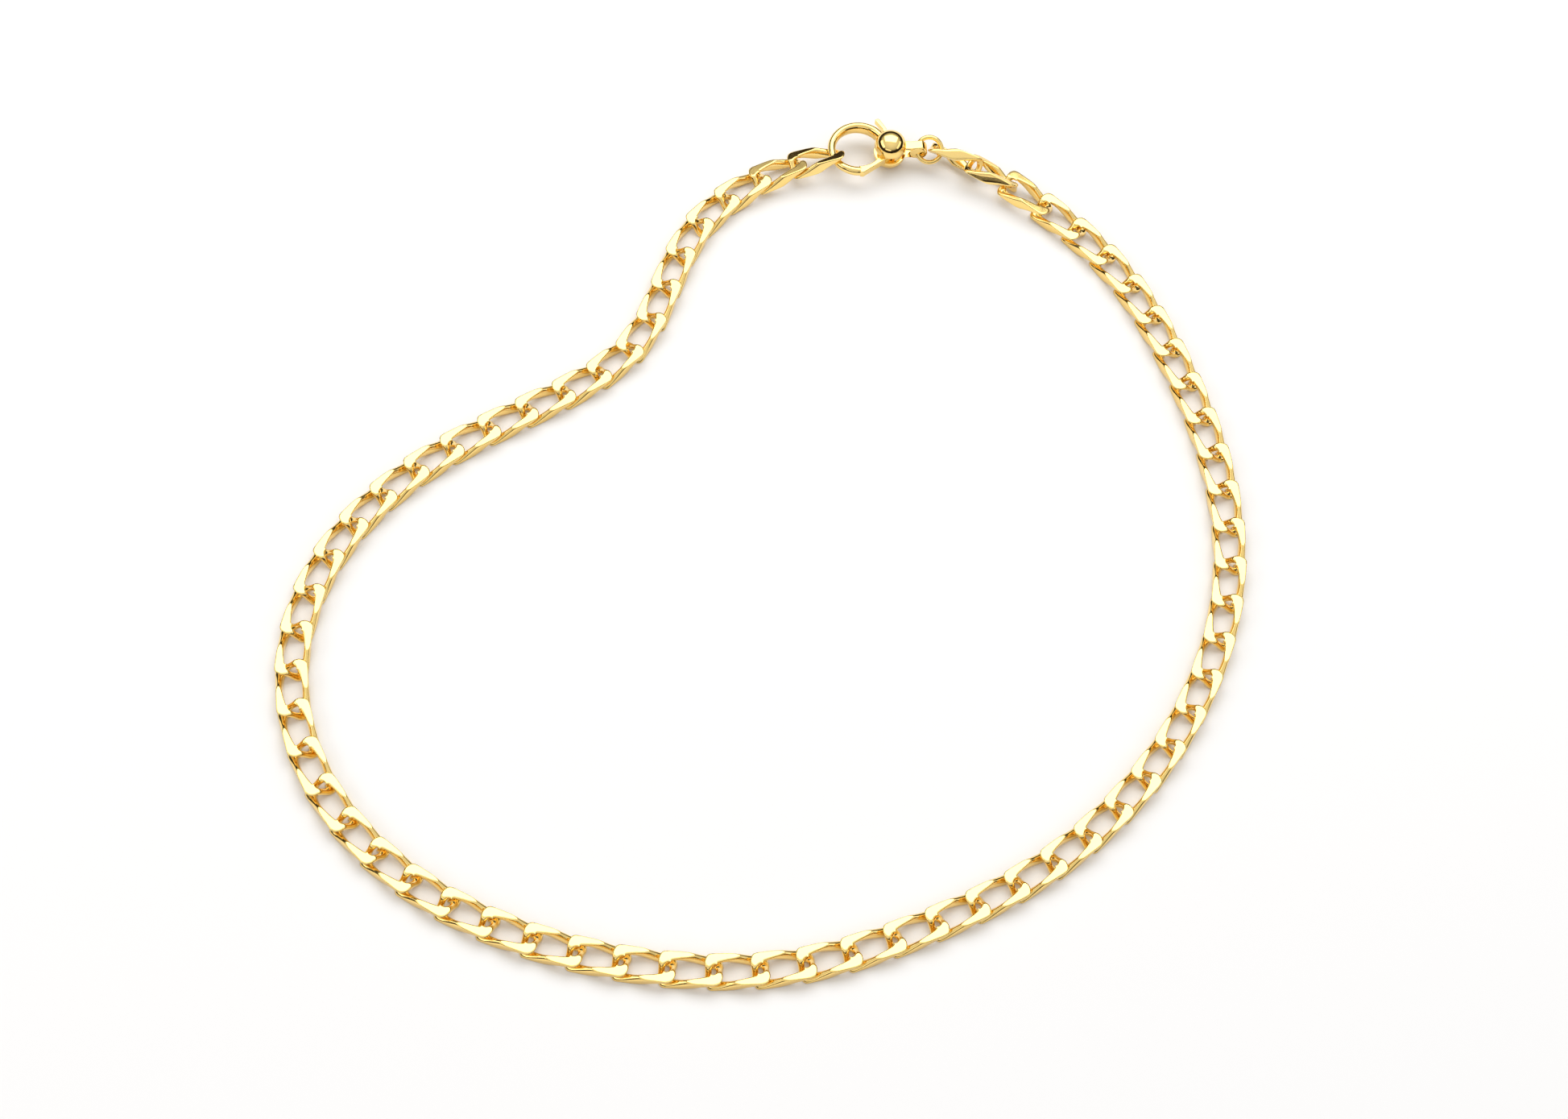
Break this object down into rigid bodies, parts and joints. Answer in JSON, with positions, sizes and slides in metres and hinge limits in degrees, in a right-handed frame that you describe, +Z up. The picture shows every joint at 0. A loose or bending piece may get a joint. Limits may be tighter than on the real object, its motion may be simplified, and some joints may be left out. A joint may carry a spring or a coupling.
{
  "type": "chain necklace",
  "caption": "Flat open curb chain necklace with twisted ground links, a ball-headed trigger clasp and a jump ring, laid out as a closed loop.",
  "frame": {"origin": "centre of the bounding box at its bottom, the surface the necklace lies on", "axes": "+Z up from the table, +Y from the front of the loop towards the clasp, +X to the right seen with the clasp at the far side"},
  "size_m": [0.144, 0.1528, 0.0066],
  "materials": {
    "gold": null
  },
  "bodies": {
    "clasp": {"clasp_body": "gold", "pivot_pin": "gold", "upper_dome": "gold", "lower_dome": "gold", "lever_spring": "gold"},
    "lever": {"lever": "gold"},
    "jump_ring": {"jump_ring": "gold"},
    "row_01": {"link_01": "gold", "link_64": "gold"},
    "row_02": {"link_02": "gold", "link_63": "gold"},
    "row_03": {"link_03": "gold", "link_62": "gold"},
    "row_04": {"link_04": "gold", "link_61": "gold"},
    "row_05": {"link_05": "gold", "link_60": "gold"},
    "row_06": {"link_06": "gold", "link_59": "gold"},
    "row_07": {"link_07": "gold", "link_58": "gold"},
    "row_08": {"link_08": "gold", "link_57": "gold"},
    "row_09": {"link_09": "gold", "link_56": "gold"},
    "row_10": {"link_10": "gold", "link_55": "gold"},
    "row_11": {"link_11": "gold", "link_54": "gold"},
    "row_12": {"link_12": "gold", "link_53": "gold"},
    "row_13": {"link_13": "gold", "link_52": "gold"},
    "row_14": {"link_14": "gold", "link_51": "gold"},
    "row_15": {"link_15": "gold", "link_50": "gold"},
    "row_16": {"link_16": "gold", "link_49": "gold"},
    "row_17": {"link_17": "gold", "link_48": "gold"},
    "row_18": {"link_18": "gold", "link_47": "gold"},
    "row_19": {"link_19": "gold", "link_46": "gold"},
    "row_20": {"link_20": "gold", "link_45": "gold"},
    "row_21": {"link_21": "gold", "link_44": "gold"},
    "row_22": {"links_22_and_43": "gold"},
    "row_23": {"links_23_and_42": "gold"},
    "row_24": {"links_24_and_41": "gold"},
    "row_25": {"links_25_and_40": "gold"},
    "row_26": {"links_26_and_39": "gold"},
    "row_27": {"links_27_and_38": "gold"},
    "row_28": {"links_28_and_37": "gold"},
    "row_29": {"links_29_and_36": "gold"},
    "row_30": {"links_30_and_35": "gold"},
    "row_31": {"links_31_and_34": "gold"},
    "row_32": {"links_32_and_33": "gold"}
  },
  "joints": [
    {"name": "lever_pivot", "type": "hinge", "parent": "clasp", "child": "lever", "pos_m": [0.01183, 0.07087, 0.00332], "axis": [0, 0, 1], "range_deg": [-24, 0], "stiffness_Nm_per_rad": 0.02, "springref_deg": 11.46},
    {"name": "jump_ring_spin", "type": "hinge", "parent": "clasp", "child": "jump_ring", "pos_m": [0.01824, 0.07154, 0.00332], "axis": [0.0614, -0.5846, 0.809], "continuous": true},
    {"name": "crease_01", "type": "hinge", "parent": "clasp", "child": "row_01", "pos_m": [0.00323, 0.06852, 0.00332], "axis": [-0.9818, -0.1897, 0], "range_deg": [0, 12]},
    {"name": "crease_02", "type": "hinge", "parent": "row_01", "child": "row_02", "pos_m": [-0.00299, 0.0665, 0.00226], "axis": [-0.9942, -0.1043, -0.0279], "range_deg": [-2, 12]},
    {"name": "crease_03", "type": "hinge", "parent": "row_02", "child": "row_03", "pos_m": [-0.00873, 0.06326, 0.00162], "axis": [-0.996, -0.0877, -0.0196], "range_deg": [-2, 12]},
    {"name": "crease_04", "type": "hinge", "parent": "row_03", "child": "row_04", "pos_m": [-0.01375, 0.05898, 0.00109], "axis": [-0.9959, -0.0903, -0.0084], "range_deg": [-4, 12]},
    {"name": "crease_05", "type": "hinge", "parent": "row_04", "child": "row_05", "pos_m": [-0.01763, 0.05361, 0.00107], "axis": [0.9948, 0.102, 0.0012], "range_deg": [-10, 10]},
    {"name": "crease_06", "type": "hinge", "parent": "row_05", "child": "row_06", "pos_m": [-0.02005, 0.04745, 0.00107], "axis": [0.9933, 0.1157, 0.0003], "range_deg": [-10, 10]},
    {"name": "crease_07", "type": "hinge", "parent": "row_06", "child": "row_07", "pos_m": [-0.02164, 0.04102, 0.00107], "axis": [0.9922, 0.1244, 0], "range_deg": [-10, 10]},
    {"name": "crease_08", "type": "hinge", "parent": "row_07", "child": "row_08", "pos_m": [-0.02325, 0.03459, 0.00107], "axis": [0.9919, 0.1272, 0], "range_deg": [-10, 10]},
    {"name": "crease_09", "type": "hinge", "parent": "row_08", "child": "row_09", "pos_m": [-0.02592, 0.02853, 0.00107], "axis": [0.9926, 0.1214, 0], "range_deg": [-10, 10]},
    {"name": "crease_10", "type": "hinge", "parent": "row_09", "child": "row_10", "pos_m": [-0.03017, 0.02345, 0.00107], "axis": [0.9947, 0.1026, 0], "range_deg": [-10, 10]},
    {"name": "crease_11", "type": "hinge", "parent": "row_10", "child": "row_11", "pos_m": [-0.03524, 0.0192, 0.00107], "axis": [0.9971, 0.0763, 0], "range_deg": [-10, 10]},
    {"name": "crease_12", "type": "hinge", "parent": "row_11", "child": "row_12", "pos_m": [-0.04058, 0.01527, 0.00107], "axis": [0.9988, 0.0491, 0], "range_deg": [-10, 10]},
    {"name": "crease_13", "type": "hinge", "parent": "row_12", "child": "row_13", "pos_m": [-0.04593, 0.01137, 0.00107], "axis": [-0.9997, -0.0241, 0], "range_deg": [-10, 10]},
    {"name": "crease_14", "type": "hinge", "parent": "row_13", "child": "row_14", "pos_m": [-0.05113, 0.00727, 0.00107], "axis": [-1, -0.0026, 0], "range_deg": [-10, 10]},
    {"name": "crease_15", "type": "hinge", "parent": "row_14", "child": "row_15", "pos_m": [-0.05598, 0.00277, 0.00107], "axis": [-0.9999, 0.0143, 0], "range_deg": [-10, 10]},
    {"name": "crease_16", "type": "hinge", "parent": "row_15", "child": "row_16", "pos_m": [-0.06031, -0.00225, 0.00107], "axis": [-0.9997, 0.0262, 0], "range_deg": [-10, 10]},
    {"name": "crease_17", "type": "hinge", "parent": "row_16", "child": "row_17", "pos_m": [-0.06397, -0.00777, 0.00107], "axis": [-0.9994, 0.0334, 0], "range_deg": [-10, 10]},
    {"name": "crease_18", "type": "hinge", "parent": "row_17", "child": "row_18", "pos_m": [-0.06681, -0.01375, 0.00107], "axis": [-0.9993, 0.0362, 0], "range_deg": [-10, 10]},
    {"name": "crease_19", "type": "hinge", "parent": "row_18", "child": "row_19", "pos_m": [-0.06868, -0.0201, 0.00107], "axis": [-0.9994, 0.0353, 0], "range_deg": [-10, 10]},
    {"name": "crease_20", "type": "hinge", "parent": "row_19", "child": "row_20", "pos_m": [-0.06951, -0.02667, 0.00107], "axis": [-0.9995, 0.0313, 0], "range_deg": [-10, 10]},
    {"name": "crease_21", "type": "hinge", "parent": "row_20", "child": "row_21", "pos_m": [-0.06922, -0.03329, 0.00107], "axis": [0.9997, -0.0249, 0], "range_deg": [-10, 10]},
    {"name": "crease_22", "type": "hinge", "parent": "row_21", "child": "row_22", "pos_m": [-0.0678, -0.03976, 0.00107], "axis": [0.9999, -0.0171, 0], "range_deg": [-10, 10]},
    {"name": "crease_23", "type": "hinge", "parent": "row_22", "child": "row_23", "pos_m": [-0.06534, -0.04591, 0.00107], "axis": [1, -0.0084, 0], "range_deg": [-10, 10]},
    {"name": "crease_24", "type": "hinge", "parent": "row_23", "child": "row_24", "pos_m": [-0.0619, -0.05157, 0.00107], "axis": [1, 0.0007, 0], "range_deg": [-10, 10]},
    {"name": "crease_25", "type": "hinge", "parent": "row_24", "child": "row_25", "pos_m": [-0.05761, -0.05661, 0.00107], "axis": [1, 0.0097, 0], "range_deg": [-10, 10]},
    {"name": "crease_26", "type": "hinge", "parent": "row_25", "child": "row_26", "pos_m": [-0.05264, -0.06099, 0.00107], "axis": [0.9998, 0.0182, 0], "range_deg": [-10, 10]},
    {"name": "crease_27", "type": "hinge", "parent": "row_26", "child": "row_27", "pos_m": [-0.04714, -0.06467, 0.00107], "axis": [0.9997, 0.0246, 0], "range_deg": [-10, 10]},
    {"name": "crease_28", "type": "hinge", "parent": "row_27", "child": "row_28", "pos_m": [-0.04123, -0.06768, 0.00107], "axis": [0.9996, 0.0267, 0], "range_deg": [-10, 10]},
    {"name": "crease_29", "type": "hinge", "parent": "row_28", "child": "row_29", "pos_m": [-0.03504, -0.07003, 0.00107], "axis": [-0.9997, -0.024, 0], "range_deg": [-10, 10]},
    {"name": "crease_30", "type": "hinge", "parent": "row_29", "child": "row_30", "pos_m": [-0.02866, -0.0718, 0.00107], "axis": [-0.9998, -0.0178, 0], "range_deg": [-10, 10]},
    {"name": "crease_31", "type": "hinge", "parent": "row_30", "child": "row_31", "pos_m": [-0.02215, -0.07303, 0.00107], "axis": [-0.9999, -0.0115, 0], "range_deg": [-10, 10]},
    {"name": "crease_32", "type": "hinge", "parent": "row_31", "child": "row_32", "pos_m": [-0.01557, -0.07373, 0.00107], "axis": [-1, -0.0074, 0], "range_deg": [-10, 10]}
  ]
}
